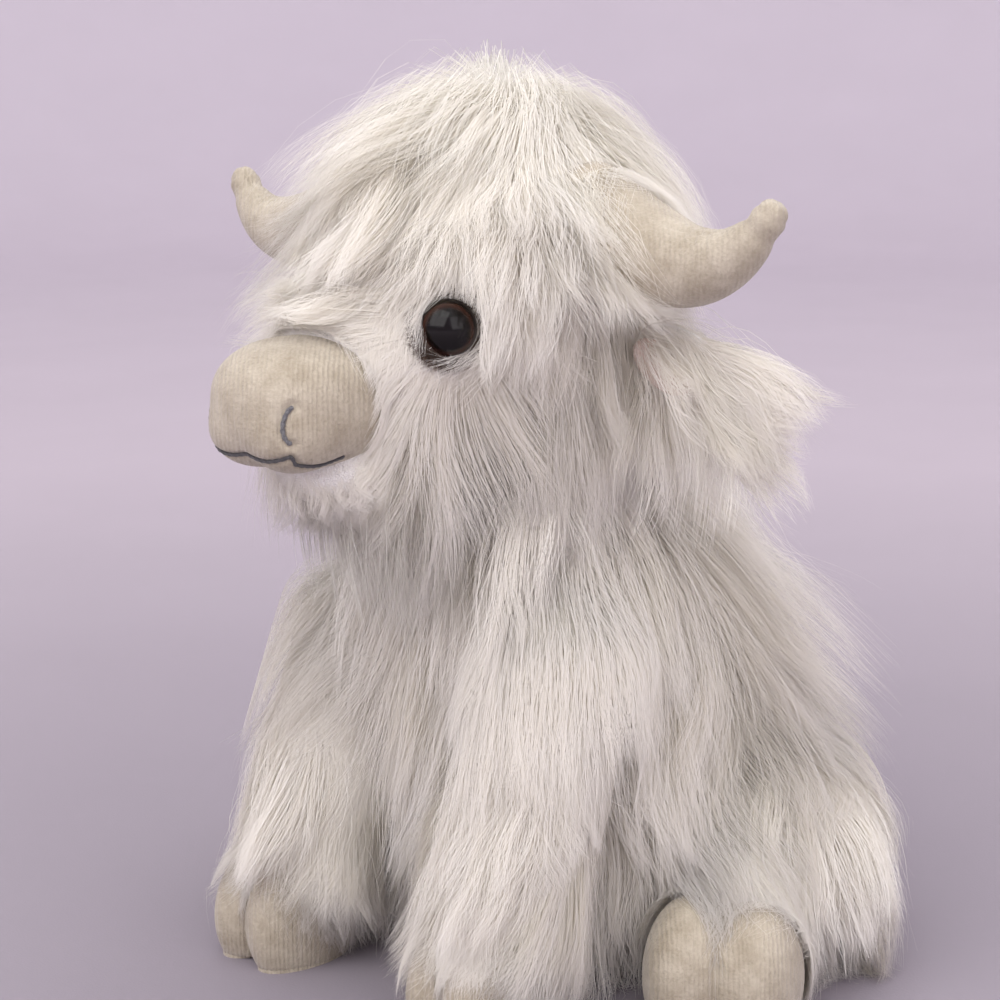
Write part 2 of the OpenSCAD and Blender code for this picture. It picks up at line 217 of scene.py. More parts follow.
def march(p, heading):
    """Moves points along the heading until they rest on the muzzle."""
    for _ in range(60):
        p = p + heading * (np.maximum(muzzle_d(p), 0) * 0.6)[..., None]
    return p


def on_muzzle(x, z):
    """Points of the muzzle's front surface over x and z."""
    x, z = np.broadcast_arrays(np.asarray(x, float), np.asarray(z, float))
    return march(np.stack([x, np.full(x.shape, -165.0), z], -1), np.array([0.0, 1.0, 0.0]))


def beside_muzzle(y, z):
    """Points of the muzzle's left surface over y and z."""
    return march(np.stack([np.full(y.shape, 45.0), y, z], -1), np.array([-1.0, 0.0, 0.0]))


def toes_d(p, size):
    """Two rounded toes over a flat sole, in the hoof's own frame, toes to -Y."""
    w, l, h = size
    q = p.copy()
    q[..., 0] = np.abs(q[..., 0])
    toe = ellipsoid(q, np.array([w * 0.23, 0.0, h * 0.36]), np.array([w * 0.275, l * 0.5, h * 0.64]))
    heel = ellipsoid(p, np.array([0.0, l * 0.05, h * 0.40]), np.array([w * 0.40, l * 0.44, h * 0.59]))
    soft = blend_min(toe, heel, 9.0)
    return -blend_min(-soft, -(0.6 - p[..., 2]), 1.2)


def hoof_d(p, centre, turn, size):
    """A hoof of the left side: its toes with the stitched cleft between them."""
    q = turned(p - centre, -turn)
    cleft = np.exp(-(q[..., 0] / 1.3) ** 2) * step(-q[..., 1], -size[1] * 0.10, size[1] * 0.22)
    return toes_d(q, size) + 0.8 * cleft


def front_hoof_d(p):
    return hoof_d(p, FRONT_HOOF, 0.0, FRONT_HOOF_SIZE)


def hind_hoof_d(p):
    return hoof_d(p, HIND_HOOF, HIND_HOOF_TURN, HIND_HOOF_SIZE)


def eye_normal():
    return np.array([math.sin(EYE_TURN), -math.cos(EYE_TURN), 0.0])


# ---------------------------------------------------------------- meshes

def mesh_object(name, verts, faces, material):
    """A smooth mesh with its material, from points in millimetres."""
    mesh = bpy.data.meshes.new(name)
    mesh.from_pydata((np.asarray(verts) * MM).tolist(), [], [list(map(int, f)) for f in faces])
    mesh.polygons.foreach_set("use_smooth", [True] * len(mesh.polygons))
    mesh.update()
    obj = bpy.data.objects.new(name, mesh)
    bpy.context.scene.collection.objects.link(obj)
    mesh.materials.append(material)
    return obj


def band_faces(rings, sides):
    """Quads between rings of points, with both ends left open."""
    return [[j * sides + k, j * sides + (k + 1) % sides, (j + 1) * sides + (k + 1) % sides,
             (j + 1) * sides + k] for j in range(rings - 1) for k in range(sides)]


def tube_faces(rings, sides):
    ends = [list(range(sides))[::-1], [(rings - 1) * sides + k for k in range(sides)]]
    return band_faces(rings, sides) + ends


def ball_directions(detail):
    bm = bmesh.new()
    bmesh.ops.create_icosphere(bm, subdivisions=detail, radius=1.0)
    dirs = np.array([v.co[:] for v in bm.verts])
    faces = np.array([[v.index for v in f.verts] for f in bm.faces])
    bm.free()
    return unit(dirs), faces


def crossing(distance, start, heading, low, high, rounds):
    """How far along each heading a surface is met, by halving between low and high."""
    for _ in range(rounds):
        mid = (low + high) / 2
        inside = distance(start + heading * mid[:, None]) < 0
        low, high = np.where(inside, mid, low), np.where(inside, high, mid)
    return low[:, None]


def star_surface(distance, centre, detail):
    """Vertices and faces of the surface distance = 0 seen from a point inside it."""
    dirs, faces = ball_directions(detail)
    far = crossing(distance, centre, dirs, np.zeros(len(dirs)), np.full(len(dirs), RAY_REACH), 22)
    return centre + dirs * far, faces


def gradient(distance, p):
    """Unit directions in which a distance grows fastest."""
    g = np.zeros_like(p)
    for k in range(3):
        shift = np.zeros(3)
        shift[k] = 0.6
        g[:, k] = distance(p + shift) - distance(p - shift)
    return unit(g)


def scatter(verts, faces, count, rng):
    """Evenly spread random points on a surface."""
    a, b, c = verts[faces[:, 0]], verts[faces[:, 1]], verts[faces[:, 2]]
    area = np.linalg.norm(np.cross(b - a, c - a), axis=1)
    pick = rng.choice(len(faces), count, p=area / area.sum())
    u, v = rng.random((2, count, 1))
    over = u + v > 1
    u, v = np.where(over, 1 - u, u), np.where(over, 1 - v, v)
    return a[pick] + u * (b[pick] - a[pick]) + v * (c[pick] - a[pick])


# ---------------------------------------------------------------- materials

class Nodes:
    """A node material round one shader."""

    def __init__(self, name):
        self.material = bpy.data.materials.new(name)
        self.material.use_nodes = True
        self.tree = self.material.node_tree
        self.shader = self.tree.nodes["Principled BSDF"]

    def add(self, kind, **values):
        node = self.tree.nodes.new(kind)
        for key, value in values.items():
            if key in node.inputs:
                node.inputs[key].default_value = value
            else:
                setattr(node, key, value)
        return node

    def link(self, output, target):
        self.tree.links.new(output, target)

    def paint(self, colour, **values):
        """Sets the base colour and the shader's constant values."""
        self.link(colour, self.shader.inputs["Base Color"])
        for key, value in values.items():
            self.shader.inputs[key.replace("_", " ")].default_value = value

    def place(self):
        return self.add("ShaderNodeTexCoord").outputs["Object"]

    def noise(self, scale, detail=4.0, rough=0.55):
        noise = self.add("ShaderNodeTexNoise", Scale=scale, Detail=detail, Roughness=rough)
        self.link(self.place(), noise.inputs["Vector"])
        return noise.outputs["Fac"]

    def far(self, axes, scale):
        """Scaled distance from the object's origin, measured over the axes."""
        kept = self.add("ShaderNodeVectorMath", operation="MULTIPLY")
        kept.inputs[1].default_value = axes
        length = self.add("ShaderNodeVectorMath", operation="LENGTH")
        scaled = self.add("ShaderNodeMath", operation="MULTIPLY")
        scaled.inputs[1].default_value = scale
        self.link(self.place(), kept.inputs[0])
        self.link(kept.outputs["Vector"], length.inputs[0])
        self.link(length.outputs["Value"], scaled.inputs[0])
        return scaled.outputs[0]

    def knit_lines(self, pitch):
        """Upright lines of a knitted backing, a pitch apart in metres."""
        along = self.add("ShaderNodeVectorMath", operation="MULTIPLY")
        along.inputs[1].default_value = (0.8, 0.8, 0.0)
        self.link(self.place(), along.inputs[0])
        wave = self.add("ShaderNodeTexWave", wave_type="BANDS", bands_direction="DIAGONAL",
                        Scale=2 * math.pi / (20 * pitch), Distortion=2.5, Detail=2.0)
        wave.inputs["Detail Scale"].default_value = 1.5
        self.link(along.outputs["Vector"], wave.inputs["Vector"])
        return wave.outputs["Fac"]

    def ramp(self, fac, stops):
        ramp = self.add("ShaderNodeValToRGB")
        band = ramp.color_ramp
        while len(band.elements) < len(stops):
            band.elements.new(0.5)
        for element, (at, colour) in zip(band.elements, stops):
            element.position = at
            element.color = (*colour, 1.0)
        self.link(fac, ramp.inputs["Fac"])
        return ramp.outputs["Color"]

    def mix(self, fac, a, b, mode="MIX"):
        node = self.add("ShaderNodeMix", data_type="RGBA", blend_type=mode)
        for socket, value in ((node.inputs[0], fac), (node.inputs[6], a), (node.inputs[7], b)):
            if hasattr(value, "is_linked"):
                self.link(value, socket)
            elif isinstance(value, tuple):
                socket.default_value = (*value, 1.0)
            else:
                socket.default_value = value
        return node.outputs[2]

    def let_light_through(self, colour, share):
        """Part of the light passes through to the other side, as in a thin hair."""
        through = self.add("ShaderNodeBsdfTranslucent")
        both = self.add("ShaderNodeMixShader")
        both.inputs[0].default_value = share
        self.link(colour, through.inputs["Color"])
        self.link(self.shader.outputs[0], both.inputs[1])
        self.link(through.outputs[0], both.inputs[2])
        self.link(both.outputs[0], self.tree.nodes["Material Output"].inputs["Surface"])

    def bump(self, height, distance, strength=1.0):
        bump = self.add("ShaderNodeBump", Strength=strength, Distance=distance)
        self.link(height, bump.inputs["Height"])
        self.link(bump.outputs["Normal"], self.shader.inputs["Normal"])


def fur_material(name, root, body, tip, spread=0.5):
    """Hair colour along each strand, darker towards the root as painted shade deep in the pile, with a tone
    of its own for every strand.
    """
    m = Nodes(name)
    uv = m.add("ShaderNodeUVMap", uv_map="OFBake")
    split = m.add("ShaderNodeSeparateXYZ")
    m.link(uv.outputs["UV"], split.inputs["Vector"])
    # The ramp darkens each hair from tip to root: painted shade for the depth of the pile
    along = m.ramp(split.outputs["Y"], [(0.0, root), (0.30, body), (1.0, tip)])
    shade = m.ramp(split.outputs["X"], [(0.0, (0.94, 0.93, 0.91)), (spread, (0.98, 0.975, 0.965)),
                                        (1.0, (1.0, 1.0, 1.0))])
    colour = m.mix(1.0, along, shade, "MULTIPLY")
    m.paint(colour, Roughness=0.5, Specular_IOR_Level=0.3, Sheen_Weight=0.1, Sheen_Roughness=0.5)
    m.let_light_through(colour, 0.4)
    return m.material


def velour_material(name, dark, light, grain=1.0):
    """Short brushed nap: patches where the pile leans, knit lines and a fine grain."""
    m = Nodes(name)
    fine = m.noise(900.0, 3.0, 0.7)
    lines = m.knit_lines(0.0009)
    colour = m.ramp(m.noise(90.0, 5.0, 0.65), [(0.34, dark), (0.62, light)])
    speck = m.ramp(fine, [(0.35, (0.84, 0.83, 0.81)), (0.65, (1.0, 1.0, 1.0))])
    rib = m.ramp(lines, [(0.2, (0.94, 0.935, 0.93)), (0.7, (1.0, 1.0, 1.0))])
    nap = m.mix(0.9, m.mix(0.5, colour, rib, "MULTIPLY"), speck, "MULTIPLY")
    m.paint(nap, Roughness=0.9, Specular_IOR_Level=0.2, Sheen_Weight=0.35, Sheen_Roughness=0.4)
    height = m.add("ShaderNodeMath", operation="MULTIPLY_ADD")
    height.inputs[1].default_value = 0.35
    m.link(lines, height.inputs[0])
    m.link(fine, height.inputs[2])
    m.bump(height.outputs[0], 0.0007 * grain, 0.9)
    return m.material


def mottled(name, dark, light, grain, relief, height, spread=0.2, **values):
    """Two tones in fine noise of the given grain, over a fine relief."""
    m = Nodes(name)
    m.paint(m.ramp(m.noise(*grain), [(0.5 - spread, dark), (0.5 + spread, light)]), **values)
    m.bump(m.noise(*relief), height)
    return m.material


def thread_material(name, dark, light):
    return mottled(name, dark, light, (2200.0, 2.0), (3000.0, 2.0), 0.0002, 0.15,
                   Roughness=0.7, Sheen_Weight=0.3)


def eye_material():
    """Black pupil in a dark red-brown iris, seen under a clear glossy dome."""
    m = Nodes("eye_gloss")
    rim = m.far((1.0, 1.0, 0.0), 1 / (EYE_D / 2 * MM))
    colour = m.ramp(rim, [(0.0, (0.003, 0.002, 0.002)), (0.72, (0.003, 0.002, 0.002)),
                          (0.80, (0.022, 0.009, 0.006)), (0.88, (0.045, 0.016, 0.010)),
                          (0.95, (0.008, 0.005, 0.004))])
    m.paint(colour, Roughness=0.14, Specular_IOR_Level=0.2, Coat_Weight=0.2, Coat_Roughness=0.03)
    return m.material


def seat_material():
    """Plain knitted fabric under the seat."""
    m = Nodes("seat_fabric")
    weave = m.add("ShaderNodeTexWave", wave_type="BANDS", bands_direction="X", Scale=420.0, Distortion=3.0)
    m.link(m.place(), weave.inputs["Vector"])
    colour = m.ramp(weave.outputs["Fac"], [(0.2, (0.70, 0.68, 0.65)), (0.8, (0.86, 0.84, 0.82))])
    m.paint(colour, Roughness=0.95, Sheen_Weight=0.2)
    m.bump(weave.outputs["Fac"], 0.0005)
    return m.material


# The first colour of each pile is at the root; its darker tone is painted shade deep in the pile
FUR = fur_material("long_pile", (0.925, 0.90, 0.85), (0.95, 0.935, 0.885), (0.965, 0.95, 0.905))
BROWN_FUR = fur_material("brown_pile", (0.03, 0.018, 0.012), (0.085, 0.05, 0.034), (0.15, 0.10, 0.07))
UNDERFUR = mottled("underfur", (0.86, 0.84, 0.80), (0.94, 0.925, 0.89), (500.0, 3.0), (1400.0, 2.0), 0.0012,
                   Roughness=1.0, Specular_IOR_Level=0.1, Sheen_Weight=0.2, Sheen_Roughness=0.6)
VELOUR = velour_material("velour", (0.44, 0.385, 0.295), (0.58, 0.525, 0.42))
EAR_VELOUR = velour_material("ear_velour", (0.66, 0.53, 0.47), (0.78, 0.66, 0.60))
BROWN_PILE = velour_material("patch_pile", (0.035, 0.022, 0.015), (0.09, 0.06, 0.045), 2.0)
FIBRE = mottled("fibre_fill", (0.80, 0.80, 0.80), (0.93, 0.93, 0.93), (300.0, 6.0), (600.0, 6.0), 0.002,
                Roughness=1.0, Sheen_Weight=0.3)
GREY_THREAD = thread_material("grey_thread", (0.10, 0.10, 0.105), (0.20, 0.20, 0.21))
DARK_THREAD = thread_material("dark_thread", (0.035, 0.034, 0.037), (0.085, 0.083, 0.088))
EYE_GLOSS = eye_material()
WASHER = mottled("washer_plastic", (0.66, 0.66, 0.63), (0.74, 0.74, 0.71), (200.0,), (800.0,), 0.0001,
                 Roughness=0.5)
POUCH = mottled("pouch_cloth", (0.48, 0.46, 0.40), (0.58, 0.55, 0.49), (900.0,), (260.0, 1.0), 0.0015,
                Roughness=0.95)
SEAT = seat_material()


# ---------------------------------------------------------------- fur

STEPS = 6
# Distance from the middle at which hair tips start to curl back, to each side
HAIR_REACH = 142.0
STRANDS_PER_PIECE = 14000
FUR_SHARE = 1.0
STRANDS = {"torso": 72000, "head": 92000, "front_leg": 26000, "hind_leg": 24000,
           "ear": 11000, "chin": 9000, "tail": 7000, "eye": 6000}
# How far a hair is shaded as the skin under it rather than as its own flat side
SOFTNESS = 0.88


def solids_around():
    """Distances to everything that hair lies on instead of passing through."""
    items = [torso_d, head_d, muzzle_d]
    for side in SIDES.values():
        for part in (front_leg_d, thigh_d, horn_d, front_hoof_d, hind_hoof_d):
            items.append(at_side(part, side))
    return items


SOLIDS = solids_around()


def push_out(p, margin):
    """Moves points that are inside a solid out to its surface plus the margin."""
    for distance in SOLIDS:
        d = distance(p)
        deep = d < margin + 1.2
        if deep.any():
            q = p[deep]
            p[deep] = q + gradient(distance, q) * (margin + 1.2 - d[deep])[:, None]
    for side in SIDES.values():
        p = clear_eye(p, side)
    return p


def from_eye(p, side):
    """Distance out along an eye's axis, offset across it, and that offset's length."""
    n = mirrored(eye_normal(), side)
    q = p - mirrored(EYE, side)
    out = q @ n
    flat = q - out[..., None] * n
    return out, flat, np.linalg.norm(flat, axis=-1)


def clear_eye(p, side):
    """Keeps hair away from the front of an eye."""
    out, flat, r = from_eye(p, side)
    limit = EYE_D / 2 + 0.9 + 0.10 * np.clip(out, 0, 60)
    near = (out > -6) & (out < 70) & (r < limit)
    shift = flat / np.maximum(r, 1e-6)[:, None] * (limit - r)[:, None]
    return p + np.where(near[:, None], shift, 0.0)


def drape(curve, roots, normals, over):
    """Carries hair rooted above a part over it, away from the body and not round its sides."""
    away = unit(normals * np.array([1.0, 1.0, 0.0]))
    for distance, rise, height in over:
        high = step(roots[:, 2], height, height + 10) * rise
        for k in range(1, STEPS + 1):
            for _ in range(4):
                d = distance(curve[:, k]) - high * min(1.0, 1.5 * k / STEPS)
                deep = (d < 0) & (high > 0.5)
                curve[deep, k] -= away[deep] * d[deep][:, None] * 0.8
    return curve


def trim(curve, across):
    """Shortens each hair so that it ends before its first point that lies across something."""
    count = np.arange(STEPS + 1)
    across[:, 0] = False
    for i in np.nonzero(across.any(1))[0]:
        last = max(0.5, across[i].argmax() - 0.7)
        at = np.linspace(0, last, STEPS + 1)
        curve[i] = np.stack([np.interp(at, count, curve[i, :, k]) for k in range(3)], -1)
    return curve


def stop_at_eyes(curve):
    """Trims the hairs that would lie across an eye so that they end at its rim."""
    for side in SIDES.values():
        out, _, r = from_eye(curve, side)
        curve = trim(curve, (out > -6) & (out < 60) & (r < EYE_D / 2 + 1.2))
    return curve


def stop_at_muzzle(curve):
    """Trims the hairs that would lie over the sides and front of the muzzle."""
    hem = MUZZLE[1] + 5.0 + 3.0 * swirl(curve[:, 0], 7, 12)[:, :1]
    bare = (muzzle_d(curve) < 6.0) & (curve[..., 1] < hem) & (curve[..., 2] > MUZZLE[2] - MUZZLE_R[2] - 4)
    return trim(curve, bare)


def stop_at_hooves(curve):
    """Trims the hairs that would run down between the toes of a hind hoof."""
    w, l, h = HIND_HOOF_SIZE
    middle = np.array([0.0, 0.0, h * 0.36])
    radii = np.array([w * 0.50, l * 0.52, h * 0.66])
    hem = 0.10 * l + 5.0 * swirl(curve[:, 0], 8, 9)[:, :1]
    for side in SIDES.values():
        q = turned(mirrored(curve, side) - HIND_HOOF, -HIND_HOOF_TURN)
        curve = trim(curve, (ellipsoid(q, middle, radii) < 0.8) & (q[..., 1] < hem))
    return curve


def swirl(p, wavelength, seed):
    """Smooth random vectors, about one unit long, that change over the wavelength."""
    rng = np.random.default_rng(seed)
    k = unit(rng.normal(size=(7, 3))) * 2 * math.pi / (wavelength * rng.uniform(0.7, 1.6, (7, 1)))
    return np.sin(p @ k.T + rng.random(7) * 6.28) @ unit(rng.normal(size=(7, 3))) * 0.6


def grow(roots, normals, flow, length, lift, droop, rng, wave=4.6, clump=(0.40, 0.62, 0.45),
         gather=(9, 45, 260), wander=0.42, over=()):
    """Strand curves (count, STEPS + 1, 3): out of the skin, along the flow, then down."""
    n = len(roots)
    side_on = flow - (flow * normals).sum(1, keepdims=True) * normals
    along = unit(side_on + wander * swirl(roots, 34, 5) + 0.5 * wander * swirl(roots, 13, 6))
    fly = rng.random(n) < 0.03
    rough = np.where(fly, 0.34, 0.08)[:, None]
    first = unit(normals * lift[:, None] + along * (1 - lift)[:, None] + rng.normal(0, 1, (n, 3)) * rough)
    last = unit(flow + np.array([0, 0, -1.0]) * droop[:, None] + wander * swirl(roots, 40, 7)
                + rng.normal(0, 1, (n, 3)) * rough)
    curve = np.zeros((n, STEPS + 1, 3))
    curve[:, 0] = roots
    for k in range(STEPS):
        s = (k + 0.5) / STEPS
        heading = unit(first * (1 - s ** 0.65) + last * s ** 0.65)
        curve[:, k + 1] = curve[:, k] + heading * (length / STEPS)[:, None]
    across = unit(np.cross(along, normals))
    phase = 3.0 * swirl(roots, 16, 8)[:, 0] + rng.normal(0, 0.5, n)
    bend = wave * (0.6 + rng.random(n))
    for k in range(1, STEPS + 1):
        s = k / STEPS
        turn = (phase + 5.6 * s)[:, None]
        sway = bend * (0.6 * s + 0.7 * s ** 3)
        curve[:, k] += (across * np.sin(turn) + normals * 0.35 * np.cos(turn)) * sway[:, None]
    for size, strength in zip(gather, clump):
        curve = gather_locks(curve, size, strength, rng)
    curve = stop_at_hooves(stop_at_muzzle(stop_at_eyes(curve)))
    curve = drape(curve, roots, normals, over)
    for k in range(1, STEPS + 1):
        curve[:, k] = push_out(curve[:, k], 0.4 + 1.6 * k / STEPS)
    curve[:, 1:, 2] = np.maximum(curve[:, 1:, 2], 0.8 + 1.5 * rng.random((n, 1)))
    excess = np.maximum(np.abs(curve[..., :2]) - HAIR_REACH, 0.0)
    curve[..., :2] -= np.sign(curve[..., :2]) * (excess - 8.0 * np.tanh(excess / 8.0))
    return curve


def gather_locks(curve, size, strength, rng):
    """Draws each strand towards a guide strand near it, more and more to the tip."""
    n = len(curve)
    guides = rng.choice(n, max(2, n // size), replace=False)
    tree = KDTree(len(guides))
    for i, g in enumerate(guides):
        tree.insert(Vector(curve[g, 0]), i)
    tree.balance()
    near = guides[[tree.find(Vector(root))[1] for root in curve[:, 0]]]
    pull = strength * (0.5 + 0.5 * rng.random(n)) * np.clip(rng.normal(1.0, 0.35, n)[near], 0.15, 1.25)
    stray = rng.random(n) < 0.06
    pull = np.where(stray, pull * 0.15, np.minimum(pull, 0.93))
    s = (np.arange(STEPS + 1) / STEPS) ** 1.1
    return curve + (curve[near] - curve) * (pull[:, None] * s)[:, :, None]


def ribbons(name, curve, normals, width, material, rng):
    """One mesh of flat tapering hairs, shaded softly with the skin's direction."""
    n, rings = curve.shape[:2]
    tangent = np.gradient(curve, axis=1)
    across = unit(np.cross(tangent, normals[:, None, :]))
    facing = unit(np.cross(across, tangent))
    roll = rng.normal(0, 0.25, n)[:, None, None]
    across = across * np.cos(roll) + facing * np.sin(roll)
    s = np.linspace(0, 1, rings)
    taper = np.where(s < 0.12, 0.7 + 2.5 * s, 1.0) * (1 - 0.88 * s ** 2.2)
    half = 0.5 * width[:, None, None] * taper[None, :, None]
    verts = np.stack([curve - across * half, curve + across * half], 2).reshape(-1, 3)
    base = (np.arange(n) * rings * 2)[:, None] + (np.arange(rings - 1) * 2)[None, :]
    quads = np.stack([base, base + 1, base + 3, base + 2], -1).reshape(-1)
    count = n * (rings - 1)
    mesh = bpy.data.meshes.new(name)
    mesh.vertices.add(len(verts))
    mesh.vertices.foreach_set("co", (verts * MM).astype(np.float32).ravel())
    mesh.loops.add(count * 4)
    mesh.loops.foreach_set("vertex_index", quads.astype(np.int32))
    mesh.polygons.add(count)
    mesh.polygons.foreach_set("loop_start", np.arange(0, count * 4, 4, dtype=np.int32))
    mesh.polygons.foreach_set("use_smooth", np.ones(count, dtype=bool))
    tone = np.repeat(rng.random(n), rings * 2)
    place = np.tile(np.repeat(s, 2), n)
    layer = mesh.uv_layers.new(name="OFBake")
    layer.data.foreach_set("uv", np.stack([tone[quads], place[quads]], -1).astype(np.float32).ravel())
    mesh.update(calc_edges=True)
    soft = unit(normals[:, None, :] * SOFTNESS + facing * (1 - SOFTNESS))
    mesh.normals_split_custom_set_from_vertices(np.repeat(soft.reshape(-1, 3), 2, axis=0))
    mesh.materials.append(material)
    obj = bpy.data.objects.new(name, mesh)
    bpy.context.scene.collection.objects.link(obj)
    return obj


def coat(name, body, surface, distance, count, style, rng, keep=None, material=None, slot="long_pile_fur",
         width=(0.15, 0.27), **options):
    """Covers a surface with hair on a body; style(p, n) gives flow, length, lift and droop."""
    count = int(count * FUR_SHARE)
    roots = scatter(*surface, count, rng)
    normals = gradient(distance, roots)
    if keep is not None:
        kept = keep(roots, normals)
        roots, normals = roots[kept], normals[kept]
    flow, length, lift, droop = style(roots, normals)
    n = len(roots)
    length = length * rng.uniform(0.62, 1.12, n) * (1 + 0.22 * swirl(roots, 26, 9)[:, 0])
    curve = grow(roots, normals, unit(flow), length, lift, droop, rng, **options)
    wide = rng.uniform(*width, n) * np.clip(length / 40, 0.6, 1.15) / math.sqrt(FUR_SHARE)
    for i, start in enumerate(range(0, n, STRANDS_PER_PIECE)):
        part = slice(start, start + STRANDS_PER_PIECE)
        obj = ribbons(f"{name}_{i + 1}", curve[part], normals[part], wide[part], material or FUR, rng)
        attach(obj, body)


def values(p, base):
    return np.full(len(p), float(base))


# ---------------------------------------------------------------- combing

def torso_style(p, n):
    back = step(p[:, 1], -25, 55)
    shoulder = step(p[:, 2], 118, 150)
    low = step(p[:, 2], 60, 10)
    down = np.stack([p[:, 0] * 0.004, values(p, -0.04), values(p, -1.0)], -1)
    flow = down + n * (0.08 + 0.55 * back * (1 - 0.6 * low))[:, None]
    neck = step(p[:, 2], 138, 165)
    under_tail = step(np.abs(p[:, 0]), 24, 10) * step(p[:, 1], 70, 90) * step(p[:, 2], 122, 104)
    length = (64 - 22 * low + 20 * shoulder) * (1 - 0.6 * under_tail)
    lift = (0.30 + 0.36 * back * (1 - low) + 0.12 * neck) * (1 - 0.7 * under_tail)
    return flow, length, lift, 0.45 - 0.3 * back


def around_eyes(p, flow):
    """Turns the combing so that hair parts round each eye."""
    for side in SIDES.values():
        q = mirrored(p, side) - EYE
        away = unit(q)
        brow = step(q[:, 2], 0, 16)
        parted = away * (1 - 0.5 * brow)[:, None] + np.array([-0.25, -0.85, -0.2]) * (0.8 * brow)[:, None]
        parted = mirrored(parted + np.array([0.0, 0.0, -0.25]), side)
        weight = step(np.linalg.norm(q, axis=1), 50, 17)[:, None]
        flow = flow * (1 - weight) + unit(parted) * weight
    return flow


def over_roots(p, flow):
    """Lays hair outward over the roots of the horns and ears."""
    for side in SIDES.values():
        q = mirrored(p, side)
        horn = step(q[:, 0], 18, 40) * step(q[:, 2], 262, 284) * step(np.abs(q[:, 1] + 22), 44, 18)
        ear = step(np.linalg.norm(q - EAR_ROOT, axis=1), 34, 14)
        flow = flow * (1 - 0.8 * horn)[:, None] + horn[:, None] * mirrored(np.array([0.8, 0.0, -0.3]), side)
        flow = flow * (1 - 0.7 * ear)[:, None] + ear[:, None] * mirrored(np.array([0.7, 0.15, -0.6]), side)
    return flow


def head_style(p, n):
    rel = p - CROWN
    tuft = step(np.linalg.norm(rel, axis=1), 50, 8)
    top = step(p[:, 2], 240, 300)
    front = step(-p[:, 1], 10, 60)
    back = step(p[:, 1], -40, 20)
    crown_flow = np.stack([rel[:, 0] * 0.006, rel[:, 1] * 0.013, -0.4 - 0.5 * back], -1)
    cheek_flow = np.stack([0.12 * np.sign(p[:, 0]), 0.10 + 0.2 * back, values(p, -1.0)], -1)
    flow = unit(crown_flow) * top[:, None] + unit(cheek_flow) * (1 - top)[:, None]
    flow = over_roots(p, around_eyes(p, unit(flow)))
    to_muzzle = np.linalg.norm((p - MUZZLE) / MUZZLE_R, axis=1)
    near = step(to_muzzle, 2.1, 1.15) * (1 - top)
    bridge = step(-p[:, 1], 60, 85) * step(p[:, 2], 226, 240) * step(np.abs(p[:, 0]), 30, 14) * (1 - top)
    flow = flow + bridge[:, None] * np.stack([p[:, 0] * 0.03, values(p, -0.5), values(p, 0.2)], -1)
    jaw = step(p[:, 2], 244, 215)
    length = (55 + 4 * front + 14 * tuft + 30 * jaw) * (1 - 0.30 * near) * (1 - 0.78 * bridge)
    beside = step(np.abs(p[:, 0]), 20, 40) * step(p[:, 2], 270, 286) * step(np.abs(p[:, 1] + 22), 40, 18)
    lift = 0.15 + 0.07 * front * top + 0.58 * tuft ** 1.3 + 0.10 * bridge + 0.14 * jaw + 0.18 * beside
    return flow, length, lift, 0.5 - 0.25 * top - 0.1 * jaw


def leg_style(side):
    def style(p, n):
        d = (mirrored(p, side) - SHOULDER) @ LEG_DOWN
        high = step(d, 45, 5)
        low = step(d, 50, 95)
        toes = step(-n[:, 1], 0.1, 0.8) * low
        flow = LEG_DOWN + n * (0.06 + 0.26 * low)[:, None]
        length = 50 - 22 * high - 17 * low - (5 - 5 * side) * toes
        return flow, length, 0.16 - 0.06 * high + 0.16 * low, 0.35 - 0.05 * low
    return style


def thigh_style(side):
    toward = turned(np.array([[0.0, -1.0, 0.0]]), LEG_TURN)[0]

    def style(p, n):
        q = mirrored(p, side)
        front = step((q - HIP) @ toward, 5, 45)
        flow = np.stack([values(p, 0.16), 0.20 * (1 - front), values(p, -1.0)], -1)
        flow = flow + toward * (0.75 * front)[:, None] + mirrored(n, side) * 0.18
        high = step(p[:, 2], 62, 88)
        hem = step(hind_hoof_d(q), 38, 6)
        return mirrored(flow, side), 54 - 14 * high - 20 * hem, 0.32 - 0.14 * high, values(p, 0.55)
    return style


def chin_style(p, n):
    flow = np.stack([p[:, 0] * 0.01, values(p, -0.12), values(p, -1.0)], -1)
    return flow, values(p, 17), values(p, 0.30), values(p, 0.5)


def ear_axes(side):
    """Along, across and out of the face of an ear."""
    c, s = math.cos(EAR_DROOP), math.sin(EAR_DROOP)
    along = mirrored(np.array([c, 0.0, -s]), side)
    across = mirrored(np.array([s, 0.0, c]), side)
    return along, across, np.array([0.0, -1.0, 0.0])


def ear_style(side):
    along, across, out = ear_axes(side)

    def style(p, n):
        q = p - mirrored(EAR_ROOT, side)
        edge = (q @ across) / (EAR_W / 2)
        flow = along + across * (0.85 * edge)[:, None] + np.array([0.0, -0.1, -0.35])
        tip = step(q @ along, 10, 55)
        ragged = 0.55 + 0.75 * np.abs(swirl(p, 9, 31)[:, 0])
        return flow, (56 - 18 * tip) * ragged, values(p, 0.34), values(p, 0.20)
    return style


def tail_style(p, n):
    low = step(-(p - TAIL_ROOT) @ np.array([0.0, 0.0, 1.0]), 36, 60)
    flow = TAIL_DOWN + n * 0.12
    return flow, 17 + 20 * low, values(p, 0.30), values(p, 0.3)


# ---------------------------------------------------------------- body parts

def dress(obj, body, nodes):
    """Rides a piece on its body in place of CAD nodes."""
    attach(obj, body)
    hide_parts(*nodes)
    return obj


def skin(name, body, distance, centre, detail, nodes, material=None):
    """Stuffed fabric over a solid; stands for the CAD solids."""
    verts, faces = star_surface(distance, centre, detail)
    obj = mesh_object(name, verts, faces, material or UNDERFUR)
    return dress(obj, body, nodes), (verts, faces)


